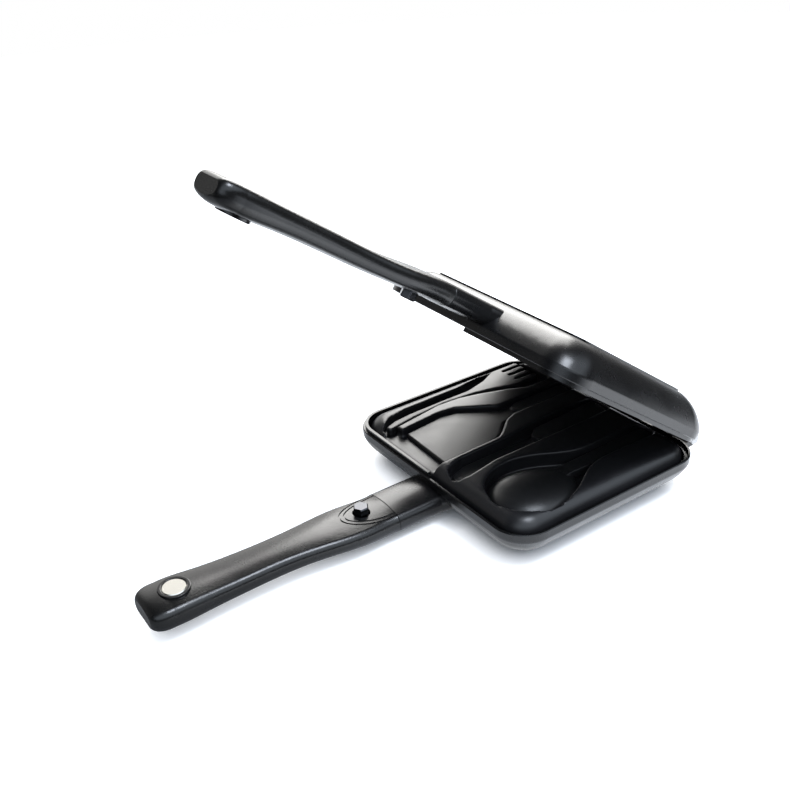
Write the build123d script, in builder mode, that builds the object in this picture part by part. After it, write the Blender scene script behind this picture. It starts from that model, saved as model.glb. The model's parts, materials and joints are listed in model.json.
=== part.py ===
from build123d import *
from math import radians, tan
import os

# Pie iron with its cutlery tray packed inside. Millimetres, +Z up, +X from the handles to the
# hinge. The origin is the centre of the lower base panel, on the table.
# The upper half is the same casting turned over and opened about the hinge.

# --- driving dimensions
PAN_L, PAN_W = 119.0, 134.0       # rim size along X and Y
SPLIT = 18.4                      # height of the plane where the halves meet
RIM_R = 16.5                      # plan corner radius at the rim
BAND = 4.2                        # vertical band below the split
SLOPE = 13.5                      # how far the wall draws in below the band
WALL = 2.9
LEDGE = 0.15                      # each half stops this far short of the split
LIP = 1.1                         # outer lip of the grooved half of the rim
BREAK = 0.35                      # bevel round the outer edge of the rim
EASE = 2.4                        # radius between the band and the slope
FIT = 0.3                         # clearance round the tongue
TONGUE = 1.8                      # tongue height above the split
PROUD = 1.0                       # base panel
OPEN = 35.7                       # opening angle as modelled

HINGE_GAP = 4.5                   # rim to hinge axis
KNUCKLE_R, PIN_R, RUN = 3.5, 1.5, 0.05
KNUCKLE_W, KNUCKLE_IN = 11.85, 11.0   # width of a knuckle, and its place from the pan's side

ARM_L, ARM_W, ARM_TOP, ARM_DEEP, ARM_R = 24.7, 26.8, 4.0, 10.6, 4.4
CROWN = 2.0                       # how far the sides of the handle's top drop below its middle
TANG_W, TANG_T, TANG_L = 11.0, 3.0, 23.8   # tang, and its length inside the grip
SCREW_Y, SCREW_R, SCREW_HEAD = 9.0, 1.25, 2.4

BUTTON_AT, BUTTON_R, STEM_R, NECK_R = 12.4, 3.9, 2.5, 1.5
TRAVEL = 2.0
GRIP_L, MAG_AT, MAG_R, COLLAR_R = 119.4, 14.9, 5.25, 7.0

HX, HY = PAN_L / 2, PAN_W / 2
AXIS_X = HX + HINGE_GAP
COLLAR_X = -HX - 0.6              # where the arm meets the pan
PART_X = -HX - ARM_L              # parting line of arm and grip
TANG_END = PART_X - TANG_L
BUTTON_X = PART_X - BUTTON_AT
GRIP_END = PART_X - GRIP_L
MAG_X = GRIP_END + MAG_AT
KNUCKLES = ((-HY + KNUCKLE_IN, -HY + KNUCKLE_IN + KNUCKLE_W),
            (HY - KNUCKLE_IN - 2 * KNUCKLE_W - FIT, HY - KNUCKLE_IN - KNUCKLE_W - FIT))
ARM_Z1 = SPLIT - ARM_TOP
ARM_Z0 = ARM_Z1 - ARM_DEEP
ARM_MID = (ARM_Z0 + ARM_Z1) / 2
TANG_Z1 = ARM_Z1 - 4.0
TANG_Z0 = TANG_Z1 - TANG_T
LATCH_Z0 = TANG_Z1 - 1.6          # thin end of the tang, held by the button's shoulder
SHELF_Z = TANG_Z1 + 0.9           # spring seat in the grip
CAP_Z0 = SHELF_Z + TRAVEL + 0.1
CAP_Z1 = SPLIT - 0.4

# wall profile as (inset from the rim, height, corner radius); the slope bulges outward
FLOOR = PROUD + 2.8
DROP = SPLIT - BAND - PROUD
OUTER = ((0.0, SPLIT - BAND, RIM_R), (0.24 * SLOPE, PROUD + 0.55 * DROP, RIM_R - 2),
         (0.57 * SLOPE, PROUD + 0.22 * DROP, RIM_R - 4.5), (SLOPE, PROUD, RIM_R - 7))
INNER = ((WALL, SPLIT - BAND + 1.2, RIM_R - WALL), (0.24 * SLOPE + 1.9, PROUD + 0.55 * DROP + 2.1, RIM_R - 4.5),
         (0.57 * SLOPE + 1.9, PROUD + 0.22 * DROP + 2.1, RIM_R - 6.5), (SLOPE + 1.1, FLOOR, RIM_R - 8.5))

TURN = Pos(0, 0, SPLIT) * Rot(180, 0, 0) * Pos(0, 0, -SPLIT)
LID = Pos(AXIS_X, 0, SPLIT) * Rot(0, OPEN, 0) * Pos(-AXIS_X, 0, -SPLIT) * TURN


def ring_sketch(inset, radius):
    RectangleRounded(PAN_L - 2 * inset, PAN_W - 2 * inset, radius)


def block(x, y, z, mode=Mode.ADD):
    """Box between two limits on each axis."""
    with Locations(((x[0] + x[1]) / 2, (y[0] + y[1]) / 2, (z[0] + z[1]) / 2)):
        Box(abs(x[1] - x[0]), abs(y[1] - y[0]), abs(z[1] - z[0]), mode=mode)


def rod(x, y, z, radius, mode=Mode.ADD):
    """Cylinder along X."""
    with Locations(((x[0] + x[1]) / 2, y, z)):
        Cylinder(radius, abs(x[1] - x[0]), rotation=(0, 90, 0), mode=mode)


def post(x, y, z, radius, mode=Mode.ADD):
    """Cylinder along Z."""
    with Locations((x, y, (z[0] + z[1]) / 2)):
        Cylinder(radius, z[1] - z[0], mode=mode)


def hinge_rod(y, radius, mode=Mode.ADD):
    """Cylinder along the hinge axis."""
    with Locations((AXIS_X, (y[0] + y[1]) / 2, SPLIT)):
        Cylinder(radius, abs(y[1] - y[0]), rotation=(90, 0, 0), mode=mode)


def turned_over(piece):
    with BuildPart() as upper:
        with Locations(LID):
            add(piece.part)
    return upper


def finish(piece, name):
    piece.part.label = name
    export_step(piece.part, f"parts/{name}.step")


def bar_section(half, top, low, radius):
    """Section of the handle in YZ: crowned on top, flat underneath, round corners."""
    with BuildSketch() as section:
        with BuildLine():
            Polyline((half, top - CROWN), (half, low), (-half, low), (-half, top - CROWN))
            ThreePointArc((-half, top - CROWN), (0, top), (half, top - CROWN))
        make_face()
        fillet(section.vertices(), radius)
    return section.sketch


# --- pan casting
def tongue_ring(z0, z1, out, inn, y):
    """Band of the rim between two insets, on one side of the middle."""
    with BuildPart() as band:
        with BuildSketch(Plane.XY.offset(z0)):
            ring_sketch(out, RIM_R - out)
            with Locations((0, sum(y) / 2)):
                Rectangle(PAN_L + 4, y[1] - y[0], mode=Mode.INTERSECT)
            RectangleRounded(PAN_L - 2 * inn, PAN_W - 2 * inn, RIM_R - inn, mode=Mode.SUBTRACT)
        extrude(amount=z1 - z0)
    return band.part


def pan():
    with BuildPart() as shell:
        for inset, z, radius in OUTER:
            with BuildSketch(Plane.XY.offset(z)):
                ring_sketch(inset, radius)
        loft()
        with BuildSketch(Plane.XY.offset(SPLIT - BAND)):
            ring_sketch(0, RIM_R)
        extrude(amount=BAND - LEDGE)
        chamfer(shell.faces().sort_by(Axis.Z)[-1].edges(), BREAK)
        foot = SPLIT - BAND
        fillet(shell.edges().filter_by_position(Axis.Z, foot - 0.01, foot + 0.01), EASE)
        with BuildSketch():
            ring_sketch(SLOPE + 1.7, RIM_R - 8.5)
        extrude(amount=PROUD)
        # root of the arm, flared where it meets the sloping wall
        for x, flare in ((COLLAR_X, 0.0), (COLLAR_X + 4, 0.8), (COLLAR_X + 14, 2.0)):
            with BuildSketch(Plane.YZ.offset(x)):
                add(bar_section(ARM_W / 2 + flare, ARM_Z1, ARM_Z0, ARM_R))
        loft()
        add(tongue_ring(SPLIT - 1, SPLIT + TONGUE, LIP + FIT, WALL, (FIT, HY)))
    with BuildPart() as hollow:
        for inset, z, radius in INNER:
            with BuildSketch(Plane.XY.offset(z)):
                ring_sketch(inset, radius)
        loft()
        with BuildSketch(Plane.XY.offset(INNER[0][1])):
            ring_sketch(WALL, RIM_R - WALL)
        extrude(amount=10)
    with BuildPart() as body:
        add(shell.part)
        add(hollow.part, mode=Mode.SUBTRACT)
        groove = SPLIT - TONGUE - FIT
        add(tongue_ring(groove, SPLIT + 3, LIP, WALL + 1, (-HY, 0)), mode=Mode.SUBTRACT)
        # tang that carries the grip, thinner at its end for the button's shoulder
        block((TANG_END, COLLAR_X + 1), (-TANG_W / 2, TANG_W / 2), (TANG_Z0, TANG_Z1))
        block((TANG_END - 1, BUTTON_X + 4), (-TANG_W, TANG_W), (TANG_Z0 - 1, LATCH_Z0), Mode.SUBTRACT)
        post(BUTTON_X, 0, (TANG_Z0, TANG_Z1 + 1), STEM_R + FIT, Mode.SUBTRACT)
        block((TANG_END - 1, BUTTON_X), (-NECK_R - FIT, NECK_R + FIT), (TANG_Z0, TANG_Z1 + 1), Mode.SUBTRACT)
        for side in (-1, 1):
            rod((COLLAR_X - 1, COLLAR_X + 5.9), side * SCREW_Y, ARM_MID, SCREW_R, Mode.SUBTRACT)
        for y in KNUCKLES:
            block((HX - 1, AXIS_X), y, (SPLIT - KNUCKLE_R, SPLIT - LEDGE))
            hinge_rod(y, KNUCKLE_R)
        hinge_rod(KNUCKLES[0], PIN_R, Mode.SUBTRACT)
        hinge_rod(KNUCKLES[1], PIN_R + RUN, Mode.SUBTRACT)
    return body


def hinge_pin():
    out = KNUCKLES[0][0]
    with BuildPart() as pin:
        hinge_rod((out - 1.2, out + 2 * KNUCKLE_W + FIT), PIN_R)
        hinge_rod((out - 1.2, out), PIN_R + 1)
        chamfer(pin.faces().sort_by(Axis.Y)[0].edges(), 0.4)
    return pin


# --- handle
def arm():
    with BuildPart() as sleeve:
        with BuildSketch(Plane.YZ.offset(PART_X)):
            add(bar_section(ARM_W / 2, ARM_Z1, ARM_Z0, ARM_R))
        extrude(amount=COLLAR_X - PART_X)
        chamfer(sleeve.faces().sort_by(Axis.X)[0].edges(), 0.45)
        block((PART_X - 1, COLLAR_X + 1), (-TANG_W / 2, TANG_W / 2), (TANG_Z0, TANG_Z1), Mode.SUBTRACT)
        for side in (-1, 1):
            rod((PART_X - 1, COLLAR_X + 1), side * SCREW_Y, ARM_MID, SCREW_R + 0.2, Mode.SUBTRACT)
            rod((PART_X - 1, PART_X + 8.2), side * SCREW_Y, ARM_MID, SCREW_HEAD + 0.2, Mode.SUBTRACT)
    return sleeve


def arm_screw(side):
    y = side * SCREW_Y
    with BuildPart() as screw:
        rod((PART_X + 8.2, COLLAR_X + 5.7), y, ARM_MID, SCREW_R)
        rod((PART_X + 6.0, PART_X + 8.2), y, ARM_MID, SCREW_HEAD)
        with BuildSketch(Plane.YZ.offset(PART_X + 6.0)):
            with Locations((y, ARM_MID)):
                RegularPolygon(1.2, 6)
        extrude(amount=1.3, mode=Mode.SUBTRACT)
    return screw


GRIP_SECTIONS = (  # share of the length, half width, top and bottom below the split, corner radius
    (0.0, 13.4, 4.0, 14.6, ARM_R), (0.11, 13.8, 4.0, 13.9, 4.2), (0.235, 13.5, 3.3, 12.6, 3.9),
    (0.38, 11.5, 2.7, 12.0, 3.9), (0.52, 10.7, 2.4, 12.0, 3.9), (0.67, 11.1, 2.1, 12.0, 3.9),
    (0.82, 12.2, 1.1, 12.0, 4.1), (0.915, 12.6, 0.8, 12.0, 4.1))
GRIP_TIP = (GRIP_SECTIONS[-1], (0.955, 12.4, 0.85, 11.9, 4.0), (0.985, 11.0, 1.6, 11.2, 3.6),
            (1.0, 8.6, 3.0, 9.9, 2.6))


def grip_loft(sections):
    with BuildPart() as body:
        for share, half, top, low, radius in sections:
            with BuildSketch(Plane.YZ.offset(PART_X - share * GRIP_L)):
                add(bar_section(half, SPLIT - top, SPLIT - low, radius))
        loft()
    return body.part


def oval_groove(form, length, half, width):
    """Shallow groove in the grip's top, half an ellipse round the button, open to the parting line."""
    with BuildPart() as groove:
        with BuildSketch(Plane.XY.offset(ARM_MID)):
            with Locations((PART_X, 0)):
                Ellipse(length, half)
                Ellipse(length - width, half - width, mode=Mode.SUBTRACT)
        extrude(amount=ARM_DEEP)
        add(Pos(0, 0, -0.45) * form, mode=Mode.SUBTRACT)
    return groove.part


def grip():
    form = grip_loft(GRIP_SECTIONS)
    with BuildPart() as body:
        add(form)
        add(grip_loft(GRIP_TIP))
        add(oval_groove(form, 24.0, 11.2, 0.9), mode=Mode.SUBTRACT)
        add(oval_groove(form, 21.6, 9.2, 0.9), mode=Mode.SUBTRACT)
        # socket for the tang, latch bore and spring seat
        block((TANG_END - 1, PART_X + 1), (-TANG_W / 2 - 0.3, TANG_W / 2 + 0.3),
              (TANG_Z0 - 0.2, TANG_Z1 + 0.2), Mode.SUBTRACT)
        post(BUTTON_X, 0, (LATCH_Z0 - 2.5, TANG_Z1), STEM_R + 0.4, Mode.SUBTRACT)
        post(BUTTON_X, 0, (TANG_Z1, SPLIT), NECK_R + 0.3, Mode.SUBTRACT)
        post(BUTTON_X, 0, (SHELF_Z, SPLIT), BUTTON_R + 0.35, Mode.SUBTRACT)
        post(MAG_X, 0, (SPLIT - 4.6, SPLIT + 1), COLLAR_R + 0.05, Mode.SUBTRACT)
    return body


def button():
    with BuildPart() as body:
        with BuildSketch(Plane.XY.offset(CAP_Z0)) as cap:
            with Locations((BUTTON_X, 0)):
                RegularPolygon(BUTTON_R, 6)
            fillet(cap.vertices(), 0.7)
        extrude(amount=CAP_Z1 - CAP_Z0)
        chamfer(body.faces().sort_by(Axis.Z)[-1].edges(), 0.45)
        post(BUTTON_X, 0, (CAP_Z0 - 1, CAP_Z1 - 1.6), 2.75, Mode.SUBTRACT)
        post(BUTTON_X, 0, (LATCH_Z0 - 0.2, CAP_Z1 - 1.0), NECK_R)
        post(BUTTON_X, 0, (LATCH_Z0 - 0.2, TANG_Z1 + 0.1), STEM_R)
    return body


def spring():
    """Coil between the seat in the grip and the roof of the button."""
    wire = 0.25
    length = CAP_Z1 - 1.6 - SHELF_Z
    with BuildPart() as coil:
        with BuildLine():
            turns = Helix((length - 2 * wire) / 3.5, length - 2 * wire, 2.2,
                          center=(BUTTON_X, 0, SHELF_Z + wire))
        with BuildSketch(Plane(turns @ 0, z_dir=turns % 0)):
            Circle(wire)
        sweep(is_frenet=True)
    return coil


def magnet():
    with BuildPart() as disc:
        post(MAG_X, 0, (SPLIT - 4.6, SPLIT - 0.3), MAG_R)
        chamfer(disc.faces().sort_by(Axis.Z)[-1].edges(), 0.3)
    return disc


def magnet_collar():
    with BuildPart() as ring:
        post(MAG_X, 0, (SPLIT - 4.6, SPLIT - 0.2), COLLAR_R)
        post(MAG_X, 0, (SPLIT - 5, SPLIT), MAG_R + 0.15, Mode.SUBTRACT)
        fillet(ring.faces().sort_by(Axis.Z)[-1].edges(), 0.4)
    return ring


# --- tray and utensils
LAND = SPLIT + 4.0                # top of the tray
TRAY_GAP = 1.0
TRAY_T = 2.0
FORK_Z, SPATULA_Z, KNIFE_Z, SPOON_Z = SPLIT - 1.4, SPLIT - 0.6, SPLIT - 3.0, SPLIT - 4.0

TRAY_L, TRAY_W = PAN_L - 2 * (WALL + TRAY_GAP), PAN_W - 2 * (WALL + TRAY_GAP)


def plan(*points):
    """Points drawn on a tray of 111.2 by 126.2, fitted to this one."""
    return [(x * TRAY_L / 111.2, y * TRAY_W / 126.2) for x, y in points]


FORK_BAY = plan((-53, 40.8), (-53, 46.4), (-45, 52), (-34, 54), (3, 55), (22, 59.4), (35, 60.6), (49.5, 60.6),
                (49.5, 32), (33, 32), (23, 37), (7, 43), (-4, 46), (-17, 46.8))
SPATULA_BAY = plan((-50, 0.6), (-13, 1.8), (-8, 5), (1, 12.5), (8, 15), (52, 15), (52, 26), (7, 26),
                   (-12, 38.6), (-22, 40), (-46, 37.6), (-50, 37.6))
LOW_EDGE = plan((-60, 0.6), (-60, 43), (-46.8, 43), (-46.8, 0.6))   # the land is low beside the blade's end
KNIFE_BAY = plan((-53, -12), (-50.5, -5), (-40, -1.6), (-12, -1.2), (6, 1), (16, 2.5), (52, 2.5),
                 (52, -12.5), (1, -13), (-28, -13), (-45, -16), (-51.5, -16))
SPOON_BAY = plan((52, -44), (20, -43), (8, -43.4), (-1.5, -47.6), (-12, -54.2), (-24.5, -59.0), (-36, -59.2),
                 (-46.4, -52.6), (-51.6, -41), (-46.6, -26.6), (-35.6, -19.2), (-22, -17.7), (-11, -21.0),
                 (0, -27.5), (9, -31.5), (20, -32), (52, -32))
BAYS = ((FORK_BAY, FORK_Z), (SPATULA_BAY, SPATULA_Z), (LOW_EDGE, SPATULA_Z), (KNIFE_BAY, KNIFE_Z))


def outline(points, z, height, grow=0.0, corner=3.0):
    with BuildPart() as prism:
        with BuildSketch(Plane.XY.offset(z)) as shape:
            with BuildLine():
                Polyline(*points, close=True)
            make_face()
            fillet(shape.vertices(), corner)
            if grow:
                offset(amount=grow)
        extrude(amount=height)
    return prism.part


def spoon_bay(z, height, grow=0.0):
    """Bay whose corners are rounded as far as its sides allow."""
    points = SPOON_BAY
    with BuildPart() as prism:
        with BuildSketch(Plane.XY.offset(z)) as shape:
            with BuildLine():
                Polyline(*points, close=True)
            make_face()
            for before, here, after in zip(points[-1:] + points[:-1], points, points[1:] + points[:1]):
                one, two = Vector(*here) - Vector(*before), Vector(*after) - Vector(*here)
                turn = max(radians(one.get_angle(two)), 0.12)
                reach = 0.45 * min(one.length, two.length)
                fillet(shape.vertices().sort_by_distance((*here, 0))[0], reach / tan(turn / 2))
            if grow:
                offset(amount=grow)
        extrude(amount=height)
    return prism.part


def tray_form(inset, top, bottom, edge):
    """Closed form of the tray: domed top, short band, skirt that follows the pan wall."""
    waist = top - edge - 0.2
    corner = RIM_R - WALL - TRAY_GAP - inset
    with BuildPart() as form:
        for i, z, radius in ((WALL + TRAY_GAP + inset, waist, corner),
                             (WALL + TRAY_GAP + inset + (waist - bottom) * 1.03, bottom, corner - 3.5)):
            with BuildSketch(Plane.XY.offset(z)):
                ring_sketch(i, radius)
        loft(ruled=True)
    with BuildPart() as both:
        add(form.part)
        with BuildSketch(Plane.XY.offset(waist)):
            ring_sketch(WALL + TRAY_GAP + inset, corner)
        extrude(amount=top - waist)
        fillet(both.faces().sort_by(Axis.Z)[-1].edges(), edge)
    return both.part


def utensil_tray():
    outer = tray_form(0.0, LAND, FLOOR, 8.0)
    with BuildPart() as pockets:
        add(outer)
        for k, (points, floor) in enumerate(BAYS):
            if k == 0:
                grown = outline(points, floor - TRAY_T, 20, 1.8)
            else:
                grown = grown + outline(points, floor - TRAY_T, 20, 1.8)
        grown = grown + spoon_bay(SPOON_Z - TRAY_T, 20, 1.8)
        add(grown, mode=Mode.INTERSECT)
    with BuildPart() as tray:
        add(outer)
        add(tray_form(TRAY_T, LAND - TRAY_T, FLOOR - 0.8, 6.5), mode=Mode.SUBTRACT)
        add(pockets.part)
        for points, floor in BAYS:
            add(outline(points, floor, 20), mode=Mode.SUBTRACT)
        add(spoon_bay(SPOON_Z, 20), mode=Mode.SUBTRACT)
    return tray


def fork():
    side = plan((-51, 42.6), (-51, 46.2), (-44, 48.8), (-34, 50), (-13, 50.6), (6, 50.6), (19, 54), (30, 59.4),
                (47.5, 59.4), (47.5, 39), (30, 39), (19, 43), (6, 46), (-13, 47.6), (-34, 45.6))
    with BuildPart() as body:
        add(outline(side, FORK_Z, 4.4, corner=1.5))
        fillet(body.faces().sort_by(Axis.Z)[-1].edges(), 1.0)
        for k in range(3):
            y = 43.4 + k * 5.4
            slot = plan((34.5, y), (34.5, y + 1.8), (49, y + 1.8), (49, y))
            add(outline(slot, FORK_Z - 1, 8, corner=0.6), mode=Mode.SUBTRACT)
    return body


def spatula():
    side = plan((-46.6, 1.8), (-14, 3), (-9, 6), (0, 13.6), (8, 16), (50.5, 16), (50.5, 25),
                (6.5, 25), (-13, 37.2), (-22, 38.8), (-45.2, 36.2))
    handle = plan((12, 19), (16, 16.6), (49.8, 16.6), (49.8, 24.4), (16, 24.4), (12, 22))
    with BuildPart() as body:
        add(outline(side, SPATULA_Z, 2.2, corner=1.2))
        chamfer(body.faces().sort_by(Axis.Z)[-1].edges(), 0.5)
        add(outline(handle, SPATULA_Z, 3.0, corner=1.6))
    return body


def knife():
    blade = plan((-51.5, -13), (-48.5, -6), (-39, -2.8), (-12, -2.6), (4, -4), (4, -12), (-28, -12),
                 (-45, -14.6))
    handle = plan((2, -5.5), (8, -1), (50.5, 1.2), (50.5, -11.2), (8, -11.6), (2, -10))
    with BuildPart() as body:
        add(outline(blade, KNIFE_Z, 2.4, corner=1.6))
        chamfer(body.faces().sort_by(Axis.Z)[-1].edges(), 0.5)
        add(outline(handle, KNIFE_Z, 5.0, corner=2))
    return body


def lobe(length, side, half, height):
    """Quarter of an ellipsoid, above the floor on one side of the middle."""
    with BuildPart() as form:
        Sphere(1)
        scale(by=(length, half, height))
        with Locations((side * 50, 0, 50)):
            Box(100, 100, 100, mode=Mode.INTERSECT)
    return form.part


def egg(centre, nose, tail, half, height):
    """Half egg lying on its flat side: blunt towards -X, long towards +X."""
    with BuildPart() as form:
        add(lobe(nose, -1, half, height))
        add(lobe(tail, 1, half, height))
    return Pos(*centre) * form.part


def spoon():
    """Bowl lies hollow side down, its rim on the floor of the bay."""
    x, y = plan((-31, -38.8))[0]
    handle = plan((-14, -41), (-14, -34), (4, -33.4), (50.5, -33), (50.5, -42.4), (4, -41.6))
    with BuildPart() as body:
        add(egg((x, y, SPOON_Z), 18.2, 29.0, 18.1, 8.2))
        add(outline(handle, SPOON_Z, 5.2, corner=2.4))
        add(egg((x, y, SPOON_Z - 0.01), 16.4, 26.6, 16.3, 6.5), mode=Mode.SUBTRACT)
    return body


os.makedirs("parts", exist_ok=True)

halves = {
    "pan": pan(), "arm": arm(), "arm_screw_left": arm_screw(1), "arm_screw_right": arm_screw(-1),
    "grip": grip(), "release_button": button(), "button_spring": spring(),
    "magnet": magnet(), "magnet_collar": magnet_collar(),
}
for name, piece in halves.items():
    finish(turned_over(piece), f"upper_{name}")
    finish(piece, f"lower_{name}")

pin = hinge_pin()
finish(turned_over(pin), "hinge_pin_far")
finish(pin, "hinge_pin_near")
finish(utensil_tray(), "utensil_tray")
finish(fork(), "fork")
finish(spatula(), "spatula")
finish(knife(), "knife")
finish(spoon(), "spoon")
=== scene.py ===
import json

import bmesh
import bpy
from mathutils import Matrix, Vector


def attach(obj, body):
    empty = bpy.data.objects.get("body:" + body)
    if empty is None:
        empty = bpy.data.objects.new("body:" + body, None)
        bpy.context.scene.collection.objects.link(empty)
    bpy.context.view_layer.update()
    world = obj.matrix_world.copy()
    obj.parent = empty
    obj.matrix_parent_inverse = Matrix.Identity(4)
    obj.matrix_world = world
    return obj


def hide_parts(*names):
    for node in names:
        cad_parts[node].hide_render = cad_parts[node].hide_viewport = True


bl_info = {
    "name": "Pie Iron",
    "version": (1, 0, 0),
    "blender": (4, 5, 0),
    "location": "View3D > Sidebar > Pie Iron",
    "description": "Dresses a hinged pie iron and the cutlery tray packed inside it",
    "category": "Object",
}

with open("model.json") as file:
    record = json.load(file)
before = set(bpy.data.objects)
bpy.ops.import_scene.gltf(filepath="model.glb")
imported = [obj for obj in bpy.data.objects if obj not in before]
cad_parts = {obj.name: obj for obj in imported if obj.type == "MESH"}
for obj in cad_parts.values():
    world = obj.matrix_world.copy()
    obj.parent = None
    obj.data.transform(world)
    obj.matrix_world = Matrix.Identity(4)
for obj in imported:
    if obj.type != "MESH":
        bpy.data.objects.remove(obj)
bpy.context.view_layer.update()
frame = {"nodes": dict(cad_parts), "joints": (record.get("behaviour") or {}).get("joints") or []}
NODES = frame["nodes"]
MM = 0.001
FILM = 36.0             # sensor width in millimetres

TRAY_EASE = 9           # smoothing rounds that give the tray's ridges their radius
UTENSIL_EASE = {"fork": 5, "spatula": 5, "knife": 5, "spoon": 12}
KEPT_FACES = 0.3        # share of the remade faces that is kept
RING_SIDES, WIRE_SIDES = 32, 10

# metres, in the frame of the part
FLOOR_RADIUS, FLOOR_DROP = 1.6, 0.0002
OVERHEAD_PLACE, OVERHEAD_SIZE, OVERHEAD_TINT = (0.15, -0.35, 1.1), (0.42, 0.36), (0.84, 0.90, 1.0)
PANEL_PLACE, PANEL_SIZE, PANEL_TINT = (0.91, 1.01, 0.85), (1.0, 1.2), (1.0, 0.99, 0.97)
EYE = (-0.28135, -0.31635, 0.2764)
EYE_RIGHT, EYE_UP = (0.8217, -0.5681, -0.0472), (0.3085, 0.3735, 0.8748)
DAYLIGHT_TINT, ROOM_TINT, LIFT_TINT = (0.80, 0.89, 1.0, 1.0), (1.0, 0.99, 0.97, 1.0), (0.96, 0.975, 1.0, 1.0)


def linear(code):
    """sRGB hex value as linear light."""
    shares = [int(code[i:i + 2], 16) / 255 for i in (1, 3, 5)]
    return tuple(s / 12.92 if s <= 0.04045 else ((s + 0.055) / 1.055) ** 2.4 for s in shares)


# ---------------------------------------------------------------- settings
class PieIronFinishes(bpy.types.PropertyGroup):
    """Colours and surface qualities of the finishes."""
    coating_colour: bpy.props.FloatVectorProperty(
        name="Coating", description="Sprayed PTFE on the cast pans", subtype="COLOR",
        size=3, min=0, max=1, default=linear("#101011"))
    coating_roughness: bpy.props.FloatProperty(
        name="Coating roughness", description="0 is a mirror, 1 is chalk", subtype="FACTOR",
        min=0, max=1, default=0.26)
    grip_colour: bpy.props.FloatVectorProperty(
        name="Grip", description="Moulded glass-filled nylon of the grips", subtype="COLOR",
        size=3, min=0, max=1, default=linear("#121212"))
    grip_roughness: bpy.props.FloatProperty(
        name="Grip roughness", description="0 is a mirror, 1 is chalk", subtype="FACTOR",
        min=0, max=1, default=0.25)
    tray_colour: bpy.props.FloatVectorProperty(
        name="Tray", description="Moulded ABS of the cutlery tray", subtype="COLOR",
        size=3, min=0, max=1, default=linear("#1a1a1c"))
    tray_roughness: bpy.props.FloatProperty(
        name="Tray roughness", description="0 is a mirror, 1 is chalk", subtype="FACTOR",
        min=0, max=1, default=0.34)
    nylon_colour: bpy.props.FloatVectorProperty(
        name="Utensils", description="Nylon of the fork, spatula, knife and spoon", subtype="COLOR",
        size=3, min=0, max=1, default=linear("#19191a"))
    nylon_roughness: bpy.props.FloatProperty(
        name="Nylon roughness", description="0 is a mirror, 1 is chalk", subtype="FACTOR",
        min=0, max=1, default=0.38)
    nickel_colour: bpy.props.FloatVectorProperty(
        name="Magnets", description="Nickel plate of the magnets", subtype="COLOR",
        size=3, min=0, max=1, default=linear("#e8e6df"))
    button_colour: bpy.props.FloatVectorProperty(
        name="Buttons", description="Black nickel of the release buttons", subtype="COLOR",
        size=3, min=0, max=1, default=linear("#4c4d50"))


class PieIronShapes(bpy.types.PropertyGroup):
    """Sizes of the pieces that are reshaped."""
    tray_edge: bpy.props.FloatProperty(
        name="Tray edges", description="Voxel size used to round the tray's moulded edges",
        unit="LENGTH", min=0.0002, max=0.002, default=0.00055, precision=5)
    utensil_edge: bpy.props.FloatProperty(
        name="Utensil edges", description="Voxel size used to round the utensils' edges",
        unit="LENGTH", min=0.0002, max=0.002, default=0.0004, precision=5)
    spring_turns: bpy.props.FloatProperty(
        name="Spring turns", description="Turns of each button spring", min=1, max=12, default=3.5)
    spring_wire: bpy.props.FloatProperty(
        name="Spring wire", description="Radius of the spring wire", unit="LENGTH",
        min=0.0001, max=0.001, default=0.0002, precision=5)


class PieIronStage(bpy.types.PropertyGroup):
    """Floor, lamps and camera."""
    floor_colour: bpy.props.FloatVectorProperty(
        name="Floor", description="Colour of the studio floor", subtype="COLOR",
        size=3, min=0, max=1, default=linear("#f2f4f7"))
    # also the colour of painted shade in reflections: glossy rays see it on the paper beside the grips
    table_and_gloss_shade_colour: bpy.props.FloatVectorProperty(
        name="Table", description="Dim table beyond the paper, as lamps and gloss see it", subtype="COLOR",
        size=3, min=0, max=1, default=linear("#2a2b2c"))
    floor_lift: bpy.props.FloatProperty(
        name="Floor lift", description="How far the paper near the iron is raised to white to the eye",
        min=0, max=1, default=0.75)
    # painted reflection: glow of the floor in front of the iron that only glossy rays see
    floor_gleam: bpy.props.FloatProperty(
        name="Floor in gloss", description="How far the floor in front of the iron is raised in reflections",
        min=0, max=2, default=1.2)
    room: bpy.props.FloatProperty(
        name="Room", description="Brightness of the room near the horizon", min=0, max=4, default=0.08)
    back_wall: bpy.props.FloatProperty(
        name="Back wall", description="Brightness of the wall behind the iron", min=0, max=4, default=1.6)
    window: bpy.props.FloatProperty(
        name="Window", description="Brightness of the daylight in front of the iron",
        min=0, max=4, default=1.6)
    panel_power: bpy.props.FloatProperty(
        name="Panel lamp", description="Power of the broad soft panel behind the iron",
        unit="POWER", min=0, max=200, default=23.5)
    overhead_power: bpy.props.FloatProperty(
        name="Overhead lamp", description="Power of the soft box over the iron",
        unit="POWER", min=0, max=200, default=8.5)
    lens: bpy.props.FloatProperty(
        name="Lens", description="Focal length in millimetres on a 36 mm sensor",
        min=10, max=300, default=44.2)


# ---------------------------------------------------------------- materials
def add_node(tree, kind, place, links=None, **values):
    """One node. Values go on its properties or its sockets, and links feed its sockets."""
    node = tree.nodes.new(kind)
    node.location = place
    for key, value in values.items():
        if hasattr(node, key):
            setattr(node, key, value)
        else:
            node.inputs[key.replace("_", " ")].default_value = value
    for socket, source in (links or {}).items():
        tree.links.new(source, node.inputs[socket])
    return node


def new_material(name):
    material = bpy.data.materials.new(name)
    material.use_nodes = True
    material.node_tree.nodes.clear()
    return material, material.node_tree


def rgba(colour, gain=1.0):
    return (*[min(1.0, channel * gain) for channel in colour], 1.0)


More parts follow.
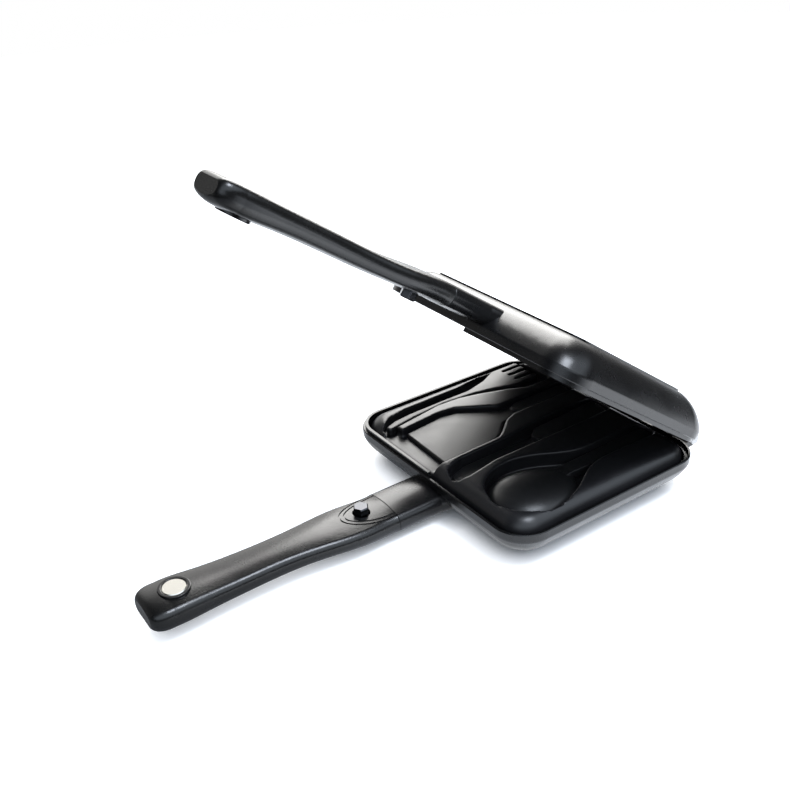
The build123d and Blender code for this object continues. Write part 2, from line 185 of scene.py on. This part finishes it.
def mottled_black(name, colour, roughness, grain_mm, grain_depth_mm, cloud_mm=18.0, spread=0.05, ior=1.5):
    """Black surface with cloudy variation of colour and gloss over a fine grain in relief."""
    material, tree = new_material(name)
    place = add_node(tree, "ShaderNodeTexCoord", (-1100, 0))
    cloud = add_node(tree, "ShaderNodeTexNoise", (-850, 200), {"Vector": place.outputs["Object"]},
                     Scale=1000.0 / cloud_mm, Detail=4.0, Roughness=0.6)
    grain = add_node(tree, "ShaderNodeTexNoise", (-850, -250), {"Vector": place.outputs["Object"]},
                     Scale=1000.0 / grain_mm, Detail=2.0, Roughness=0.5)
    tint = add_node(tree, "ShaderNodeMix", (-500, 250), data_type="RGBA")
    tint.inputs[6].default_value = rgba(colour, 0.75)
    tint.inputs[7].default_value = rgba(colour, 1.4)
    tree.links.new(cloud.outputs["Fac"], tint.inputs["Factor"])
    gloss = add_node(tree, "ShaderNodeMapRange", (-500, 0), {"Value": cloud.outputs["Fac"]},
                     From_Min=0.3, From_Max=0.7, To_Min=roughness - spread, To_Max=roughness + spread)
    relief = add_node(tree, "ShaderNodeBump", (-500, -250), {"Height": grain.outputs["Fac"]},
                      Strength=1.0, Distance=grain_depth_mm * MM)
    shader = add_node(tree, "ShaderNodeBsdfPrincipled", (-200, 100),
                      {"Base Color": tint.outputs[2], "Roughness": gloss.outputs["Result"],
                       "Normal": relief.outputs["Normal"]}, IOR=ior)
    add_node(tree, "ShaderNodeOutputMaterial", (100, 100), {"Surface": shader.outputs["BSDF"]})
    return material


def plated_metal(name, colour, roughness, scratch_mm, scratch_depth_mm):
    """Plated or drawn metal with fine handling marks."""
    material, tree = new_material(name)
    place = add_node(tree, "ShaderNodeTexCoord", (-1100, 0))
    marks = add_node(tree, "ShaderNodeTexNoise", (-850, 0), {"Vector": place.outputs["Object"]},
                     Scale=1000.0 / scratch_mm, Detail=5.0, Roughness=0.65, Distortion=0.4)
    gloss = add_node(tree, "ShaderNodeMapRange", (-500, 50), {"Value": marks.outputs["Fac"]},
                     From_Min=0.3, From_Max=0.7, To_Min=roughness * 0.7, To_Max=roughness * 1.4)
    relief = add_node(tree, "ShaderNodeBump", (-500, -200), {"Height": marks.outputs["Fac"]},
                      Strength=1.0, Distance=scratch_depth_mm * MM)
    shader = add_node(tree, "ShaderNodeBsdfPrincipled", (-200, 50),
                      {"Roughness": gloss.outputs["Result"], "Normal": relief.outputs["Normal"]},
                      Base_Color=rgba(colour), Metallic=1.0)
    add_node(tree, "ShaderNodeOutputMaterial", (100, 50), {"Surface": shader.outputs["BSDF"]})
    return material


def paint(names, material):
    """Gives CAD nodes a finish."""
    for name in names:
        mesh = NODES[name].data
        mesh.materials.clear()
        mesh.materials.append(material)
        for polygon in mesh.polygons:
            polygon.material_index = 0


# ---------------------------------------------------------------- making pieces
def applied(piece):
    """Bakes the modifiers into the mesh."""
    graph = bpy.context.evaluated_depsgraph_get()
    mesh = bpy.data.meshes.new_from_object(piece.evaluated_get(graph), depsgraph=graph)
    piece.modifiers.clear()
    piece.data = mesh
    return piece


def dressed(piece, material):
    piece.data.materials.clear()
    piece.data.materials.append(material)
    return piece


def handed_over(piece, node, body):
    """The piece rides its body and stands for its CAD node."""
    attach(piece, body)
    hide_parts(node)
    return piece


def softened_copy(node, body, voxel, rounds):
    """The node's solid remade with rounded moulded edges."""
    piece = bpy.data.objects.new(f"moulded_{node}", NODES[node].data.copy())
    bpy.context.scene.collection.objects.link(piece)
    remake = piece.modifiers.new("Remake", "REMESH")
    remake.mode = "VOXEL"
    remake.voxel_size = voxel
    ease = piece.modifiers.new("Ease", "SMOOTH")
    ease.factor = 0.5
    ease.iterations = rounds
    thin = piece.modifiers.new("Thin", "DECIMATE")
    thin.decimate_type = "COLLAPSE"
    thin.ratio = KEPT_FACES
    applied(piece)
    for polygon in piece.data.polygons:
        polygon.use_smooth = True
    return handed_over(piece, node, body)


def coil_tree():
    """Geometry Nodes for a coil spring: round wire swept along a helix."""
    tree = bpy.data.node_groups.new("coil_spring", "GeometryNodeTree")
    tree.is_modifier = True
    tree.interface.new_socket("Geometry", in_out="OUTPUT", socket_type="NodeSocketGeometry")
    tree.interface.new_socket("Geometry", in_out="INPUT", socket_type="NodeSocketGeometry")
    for name in ("Turns", "Coil radius", "Length", "Wire radius"):
        tree.interface.new_socket(name, in_out="INPUT", socket_type="NodeSocketFloat")
    tree.interface.new_socket("Finish", in_out="INPUT", socket_type="NodeSocketMaterial")
    sizes = add_node(tree, "NodeGroupInput", (-900, 0)).outputs
    helix = add_node(tree, "GeometryNodeCurveSpiral", (-600, 150),
                     {"Rotations": sizes["Turns"], "Start Radius": sizes["Coil radius"],
                      "End Radius": sizes["Coil radius"], "Height": sizes["Length"]}, Resolution=RING_SIDES)
    wire = add_node(tree, "GeometryNodeCurvePrimitiveCircle", (-600, -150),
                    {"Radius": sizes["Wire radius"]}, Resolution=WIRE_SIDES)
    swept = add_node(tree, "GeometryNodeCurveToMesh", (-350, 0),
                     {"Curve": helix.outputs["Curve"], "Profile Curve": wire.outputs["Curve"]})
    swept.inputs["Fill Caps"].default_value = True
    real = add_node(tree, "GeometryNodeRealizeInstances", (-150, 0), {"Geometry": swept.outputs["Mesh"]})
    finish = add_node(tree, "GeometryNodeSetMaterial", (50, 0),
                      {"Geometry": real.outputs["Geometry"], "Material": sizes["Finish"]})
    add_node(tree, "NodeGroupOutput", (250, 0), {"Geometry": finish.outputs["Geometry"]})
    return tree


def coil_spring(half, body, tree, form, material):
    """A button's spring, wound along the way the button moves."""
    node = f"{half}_button_spring"
    press = next(j for j in frame["joints"] if j["name"] == f"{half}_button_press")
    points = [v.co for v in NODES[node].data.vertices]
    centre = sum(points, Vector()) / len(points)
    along = Vector(press["axis"]).normalized()
    length = 2 * max(abs((p - centre).dot(along)) for p in points)
    reach = max(((p - centre) - along * (p - centre).dot(along)).length for p in points)
    piece = bpy.data.objects.new(f"{half}_coil_spring", bpy.data.meshes.new("coil"))
    bpy.context.scene.collection.objects.link(piece)
    wind = piece.modifiers.new("Wind", "NODES")
    wind.node_group = tree
    values = {"Turns": form.spring_turns, "Coil radius": reach - form.spring_wire,
              "Length": length - 2 * form.spring_wire, "Wire radius": form.spring_wire, "Finish": material}
    for socket in tree.interface.items_tree:
        if socket.name in values:
            wind[socket.identifier] = values[socket.name]
    applied(piece)
    for polygon in piece.data.polygons:
        polygon.use_smooth = True
    start = centre - along * (length / 2 - form.spring_wire)
    piece.data.transform(Matrix.Translation(start) @ along.to_track_quat("Z", "Y").to_matrix().to_4x4())
    return handed_over(piece, node, body)


# ---------------------------------------------------------------- steps
class PIEIRON_OT_pans(bpy.types.Operator):
    """Coats both pans with their tangs, and the arms"""
    bl_idname = "pie_iron.pans"
    bl_label = "Pans and arms"

    def execute(self, context):
        look = context.scene.pie_iron_finishes
        # PTFE sprayed on cast aluminium and baked: satin black with a faint orange peel of 0.6 mm
        coating = mottled_black("sprayed_ptfe", look.coating_colour, look.coating_roughness,
                                0.6, 0.005, spread=0.04, ior=1.5)
        paint(("lower_pan", "upper_pan", "lower_arm", "upper_arm"), coating)
        return {"FINISHED"}


class PIEIRON_OT_grips(bpy.types.Operator):
    """Gives the grips their eroded mould texture"""
    bl_idname = "pie_iron.grips"
    bl_label = "Grips"

    def execute(self, context):
        look = context.scene.pie_iron_finishes
        # glass-filled nylon from a spark-eroded mould: satin with a fine grain in the highlights.
        # The grain of 0.1 mm is drawn at 0.8 mm so that it shows
        skin = mottled_black("eroded_nylon", look.grip_colour, look.grip_roughness, 0.8, 0.03, ior=1.53)
        paint(("lower_grip", "upper_grip"), skin)
        return {"FINISHED"}


class PIEIRON_OT_metalwork(bpy.types.Operator):
    """Finishes the magnets, buttons, pins, screws and springs"""
    bl_idname = "pie_iron.metalwork"
    bl_label = "Magnets, buttons, pins and springs"

    def execute(self, context):
        look, form = context.scene.pie_iron_finishes, context.scene.pie_iron_shapes
        # nickel plate on a sintered magnet: bright and barely blurred, scratched in use
        nickel = plated_metal("nickel_plate", look.nickel_colour, 0.16, 1.5, 0.002)
        # black nickel on a turned button: dark, with sharp bright glints on its facets
        button = plated_metal("black_nickel", look.button_colour, 0.14, 2.0, 0.001)
        # zinc plate on drawn steel: grey and softly blurred
        steel = plated_metal("zinc_plate", linear("#a9aaab"), 0.30, 0.8, 0.004)
        # nylon from a polished mould: a glossy black ring round each magnet
        ring = mottled_black("polished_nylon", look.grip_colour, 0.2, 0.8, 0.002, spread=0.04, ior=1.53)
        coil = coil_tree()
        for half, body in (("lower", "base"), ("upper", "lid")):
            paint((f"{half}_magnet",), nickel)
            paint((f"{half}_release_button",), button)
            paint((f"{half}_magnet_collar",), ring)
            paint((f"{half}_arm_screw_left", f"{half}_arm_screw_right"), steel)
            coil_spring(half, body, coil, form, steel)
        paint(("hinge_pin_near", "hinge_pin_far"), steel)
        return {"FINISHED"}


class PIEIRON_OT_tray(bpy.types.Operator):
    """Makes the moulded tray with rounded edges"""
    bl_idname = "pie_iron.tray"
    bl_label = "Cutlery tray"

    def execute(self, context):
        look, form = context.scene.pie_iron_finishes, context.scene.pie_iron_shapes
        # ABS from a satin mould: soft sheen that runs along every rounded ridge
        satin = mottled_black("satin_abs", look.tray_colour, look.tray_roughness, 1.2, 0.005, ior=1.54)
        dressed(softened_copy("utensil_tray", "tray", form.tray_edge, TRAY_EASE), satin)
        return {"FINISHED"}


class PIEIRON_OT_utensils(bpy.types.Operator):
    """Makes the fork, spatula, knife and spoon"""
    bl_idname = "pie_iron.utensils"
    bl_label = "Fork, spatula, knife and spoon"

    def execute(self, context):
        look, form = context.scene.pie_iron_finishes, context.scene.pie_iron_shapes
        # moulded nylon 6.6: satin, a little livelier than the tray
        nylon = mottled_black("moulded_nylon", look.nylon_colour, look.nylon_roughness, 1.0, 0.016, ior=1.53)
        for node, rounds in UTENSIL_EASE.items():
            dressed(softened_copy(node, node, form.utensil_edge, rounds), nylon)
        return {"FINISHED"}


class PIEIRON_OT_stage(bpy.types.Operator):
    """Sets the floor, the lamps and the camera"""
    bl_idname = "pie_iron.stage"
    bl_label = "Stage"

    def execute(self, context):
        scene, stage = context.scene, context.scene.pie_iron_stage
        scene.view_settings.view_transform = "Standard"
        lay_floor(scene, stage)
        light_world(scene, stage)
        hang_lamp(scene, "overhead", OVERHEAD_PLACE, OVERHEAD_SIZE, stage.overhead_power, OVERHEAD_TINT)
        hang_lamp(scene, "panel", PANEL_PLACE, PANEL_SIZE, stage.panel_power, PANEL_TINT)
        place_camera(scene, stage)
        return {"FINISHED"}


def lay_floor(scene, stage):
    """White paper that shows near white to the eye and in gloss, and keeps the iron's shadow."""
    plane = bmesh.new()
    bmesh.ops.create_circle(plane, cap_ends=True, segments=96, radius=FLOOR_RADIUS)
    mesh = bpy.data.meshes.new("studio_floor")
    plane.to_mesh(mesh)
    plane.free()
    floor = bpy.data.objects.new("studio_floor", mesh)
    floor.location.z = -FLOOR_DROP
    scene.collection.objects.link(floor)
    material, tree = new_material("floor_paper")
    place = add_node(tree, "ShaderNodeTexCoord", (-1300, 0))
    away = add_node(tree, "ShaderNodeVectorMath", (-1100, 200), {0: place.outputs["Object"]},
                    operation="LENGTH")
    split = add_node(tree, "ShaderNodeSeparateXYZ", (-1100, -50), {"Vector": place.outputs["Object"]})
    path = add_node(tree, "ShaderNodeLightPath", (-900, 650))
    # past the hinge and far away the paper ends in a dim table, which the eye still sees as white
    beyond = add_node(tree, "ShaderNodeMapRange", (-1100, 500), {"Value": split.outputs["X"]},
                      interpolation_type="SMOOTHSTEP", From_Min=0.12, From_Max=0.42)
    far = add_node(tree, "ShaderNodeMapRange", (-1100, 800), {"Value": away.outputs["Value"]},
                   interpolation_type="SMOOTHSTEP", From_Min=0.6, From_Max=1.3)
    outer = add_node(tree, "ShaderNodeMath", (-900, 400),
                     {0: beyond.outputs["Result"], 1: far.outputs["Result"]}, operation="MAXIMUM")
    # painted shade in reflections: glossy rays see the paper dimmer beside the grips, which darkens the
    # grips' flanks and tips
    grips = add_node(tree, "ShaderNodeMapRange", (-1100, 1250), {"Value": split.outputs["X"]},
                     interpolation_type="SMOOTHSTEP", From_Min=-0.04, From_Max=-0.16, To_Min=0.0, To_Max=0.75)
    dimmer = add_node(tree, "ShaderNodeMath", (-900, 1250),
                      {0: grips.outputs["Result"], 1: path.outputs["Is Glossy Ray"], 2: outer.outputs[0]},
                      operation="MULTIPLY_ADD", use_clamp=True)
    paper = add_node(tree, "ShaderNodeMix", (-650, 200), data_type="RGBA")
    paper.inputs[6].default_value = rgba(stage.floor_colour)
    paper.inputs[7].default_value = rgba(stage.table_and_gloss_shade_colour)
    tree.links.new(dimmer.outputs[0], paper.inputs["Factor"])
    # the eye sees the paper lifted to white by a painted glow; ambient occlusion holds the glow back in the
    # creases under the iron, which paints a contact shade there
    crease = add_node(tree, "ShaderNodeAmbientOcclusion", (-1100, 1050), samples=8, Distance=0.012)
    around = add_node(tree, "ShaderNodeMapRange", (-900, 650), {"Value": crease.outputs["AO"]},
                      interpolation_type="SMOOTHSTEP", From_Min=0.1, From_Max=0.75,
                      To_Min=0.0, To_Max=stage.floor_lift)
    seen = add_node(tree, "ShaderNodeMix", (-700, 450),
                    {"Factor": outer.outputs[0], "A": around.outputs["Result"]}, data_type="FLOAT", B=0.97)
    # painted reflection: the paper in front of the pan glows for glossy rays only, which brightens the
    # reflections on the pan's band and the flanks
    front = add_node(tree, "ShaderNodeMapRange", (-900, 100), {"Value": split.outputs["Y"]},
                     interpolation_type="SMOOTHSTEP", From_Min=0.05, From_Max=-0.15,
                     To_Min=0.0, To_Max=stage.floor_gleam)
    aside = add_node(tree, "ShaderNodeVectorMath", (-1100, -250), {0: place.outputs["Object"]},
                     operation="DISTANCE")
    aside.inputs[1].default_value = (0.05, -0.12, 0.0)
    near = add_node(tree, "ShaderNodeMapRange", (-900, -150), {"Value": aside.outputs["Value"]},
                    interpolation_type="SMOOTHSTEP", From_Min=0.12, From_Max=0.34, To_Min=1.0, To_Max=0.0)
    gleam = add_node(tree, "ShaderNodeMath", (-700, 0),
                     {0: front.outputs["Result"], 1: near.outputs["Result"]}, operation="MULTIPLY")
    to_eye = add_node(tree, "ShaderNodeMath", (-500, 550),
                      {0: path.outputs["Is Camera Ray"], 1: seen.outputs[0]}, operation="MULTIPLY")
    lift = add_node(tree, "ShaderNodeMath", (-350, 400),
                    {0: path.outputs["Is Glossy Ray"], 1: gleam.outputs[0], 2: to_eye.outputs[0]},
                    operation="MULTIPLY_ADD")
    noise = add_node(tree, "ShaderNodeTexNoise", (-700, -350), {"Vector": place.outputs["Object"]},
                     Scale=900.0, Detail=2.0)
    rough = add_node(tree, "ShaderNodeMapRange", (-450, -100), {"Value": noise.outputs["Fac"]},
                     To_Min=0.5, To_Max=0.65)
    shader = add_node(tree, "ShaderNodeBsdfPrincipled", (-200, 0),
                      {"Base Color": paper.outputs[2], "Roughness": rough.outputs["Result"],
                       "Emission Strength": lift.outputs[0]}, Emission_Color=LIFT_TINT)
    add_node(tree, "ShaderNodeOutputMaterial", (100, 0), {"Surface": shader.outputs["BSDF"]})
    mesh.materials.append(material)


def light_world(scene, stage):
    """Pale wall behind the iron in a dim room with a dark ceiling, and plain white to the eye."""
    world = bpy.data.worlds.new("studio")
    scene.world = world
    world.use_nodes = True
    tree = world.node_tree
    tree.nodes.clear()
    path = add_node(tree, "ShaderNodeLightPath", (-700, 400))
    aim = add_node(tree, "ShaderNodeTexCoord", (-1100, 0))
    split = add_node(tree, "ShaderNodeSeparateXYZ", (-900, 0), {"Vector": aim.outputs["Generated"]})
    wall = add_node(tree, "ShaderNodeMapRange", (-700, 200), {"Value": split.outputs["Y"]},
                    interpolation_type="SMOOTHSTEP", From_Min=0.2, From_Max=0.65,
                    To_Min=stage.room, To_Max=stage.back_wall)
    fade = add_node(tree, "ShaderNodeMapRange", (-700, -50), {"Value": split.outputs["Z"]},
                    interpolation_type="SMOOTHSTEP", From_Min=0.45, From_Max=0.85, To_Min=1.0, To_Max=0.1)
    # the wall is dim behind the grips
    turn = add_node(tree, "ShaderNodeMapRange", (-700, 450), {"Value": split.outputs["X"]},
                    interpolation_type="SMOOTHSTEP", From_Min=-0.35, From_Max=0.1, To_Min=0.15, To_Max=1.0)
    lit = add_node(tree, "ShaderNodeMath", (-500, 300),
                   {0: wall.outputs["Result"], 1: turn.outputs["Result"]}, operation="MULTIPLY")
    glow = add_node(tree, "ShaderNodeMath", (-500, 100),
                    {0: lit.outputs[0], 1: fade.outputs["Result"]}, operation="MULTIPLY")
    room = add_node(tree, "ShaderNodeBackground", (-300, 0), {"Strength": glow.outputs[0]},
                    Color=ROOM_TINT)
    # daylight comes from high in front
    side = add_node(tree, "ShaderNodeMapRange", (-700, -300), {"Value": split.outputs["Y"]},
                    interpolation_type="SMOOTHSTEP", From_Min=0.05, From_Max=-0.5,
                    To_Min=0.0, To_Max=stage.window)
    sill = add_node(tree, "ShaderNodeMapRange", (-700, -550), {"Value": split.outputs["Z"]},
                    interpolation_type="SMOOTHSTEP", From_Min=0.2, From_Max=0.5)
    sky = add_node(tree, "ShaderNodeMath", (-500, -400),
                   {0: side.outputs["Result"], 1: sill.outputs["Result"]}, operation="MULTIPLY")
    daylight = add_node(tree, "ShaderNodeBackground", (-300, -250), {"Strength": sky.outputs[0]},
                        Color=DAYLIGHT_TINT)
    both = add_node(tree, "ShaderNodeAddShader", (-100, -100),
                    {0: room.outputs[0], 1: daylight.outputs[0]})
    plain = add_node(tree, "ShaderNodeBackground", (-300, 100), Color=(1, 1, 1, 1), Strength=1.0)
    pick = add_node(tree, "ShaderNodeMixShader", (0, 0),
                    {0: path.outputs["Is Camera Ray"], 1: both.outputs[0], 2: plain.outputs[0]})
    add_node(tree, "ShaderNodeOutputWorld", (250, 0), {"Surface": pick.outputs[0]})


def hang_lamp(scene, name, place, size, power, colour):
    """Rectangular soft box that faces the iron."""
    lamp = bpy.data.lights.new(name, "AREA")
    lamp.shape = "RECTANGLE"
    lamp.size, lamp.size_y = size
    lamp.energy = power
    lamp.color = colour
    holder = bpy.data.objects.new(name, lamp)
    holder.location = place
    holder.rotation_euler = Vector(place).to_track_quat("Z", "Y").to_euler()
    scene.collection.objects.link(holder)


def place_camera(scene, stage):
    camera = bpy.data.cameras.new("camera")
    camera.sensor_width = FILM
    camera.lens = stage.lens
    camera.clip_start, camera.clip_end = 0.01, 20.0
    holder = bpy.data.objects.new("camera", camera)
    right, up = Vector(EYE_RIGHT), Vector(EYE_UP)
    back = right.cross(up)
    turn = Matrix((right, up, back)).transposed().to_4x4()
    holder.matrix_world = Matrix.Translation(EYE) @ turn
    scene.collection.objects.link(holder)
    scene.camera = holder


class PIEIRON_PT_panel(bpy.types.Panel):
    """Lists the steps that dress the pie iron"""
    bl_idname = "PIEIRON_PT_panel"
    bl_label = "Pie Iron"
    bl_space_type = "VIEW_3D"
    bl_region_type = "UI"
    bl_category = "Pie Iron"

    def draw(self, context):
        scene = context.scene
        for group in (scene.pie_iron_finishes, scene.pie_iron_shapes, scene.pie_iron_stage):
            box = self.layout.box()
            for key in group.__annotations__:
                box.prop(group, key)
        for step in STEPS:
            self.layout.operator(step.bl_idname)


GROUPS = {
    "pie_iron_finishes": PieIronFinishes,
    "pie_iron_shapes": PieIronShapes,
    "pie_iron_stage": PieIronStage,
}
STEPS = (PIEIRON_OT_pans, PIEIRON_OT_grips, PIEIRON_OT_metalwork, PIEIRON_OT_tray,
         PIEIRON_OT_utensils, PIEIRON_OT_stage)


def register():
    for group in GROUPS.values():
        bpy.utils.register_class(group)
    for step in STEPS:
        bpy.utils.register_class(step)
    bpy.utils.register_class(PIEIRON_PT_panel)
    for name, group in GROUPS.items():
        setattr(bpy.types.Scene, name, bpy.props.PointerProperty(type=group))


def unregister():
    for name in GROUPS:
        delattr(bpy.types.Scene, name)
    bpy.utils.unregister_class(PIEIRON_PT_panel)
    for step in reversed(STEPS):
        bpy.utils.unregister_class(step)
    for group in reversed(GROUPS.values()):
        bpy.utils.unregister_class(group)


def main():
    register()
    bpy.ops.pie_iron.pans()
    bpy.ops.pie_iron.grips()
    bpy.ops.pie_iron.metalwork()
    bpy.ops.pie_iron.tray()
    bpy.ops.pie_iron.utensils()
    bpy.ops.pie_iron.stage()


if __name__ == "__main__":
    main()
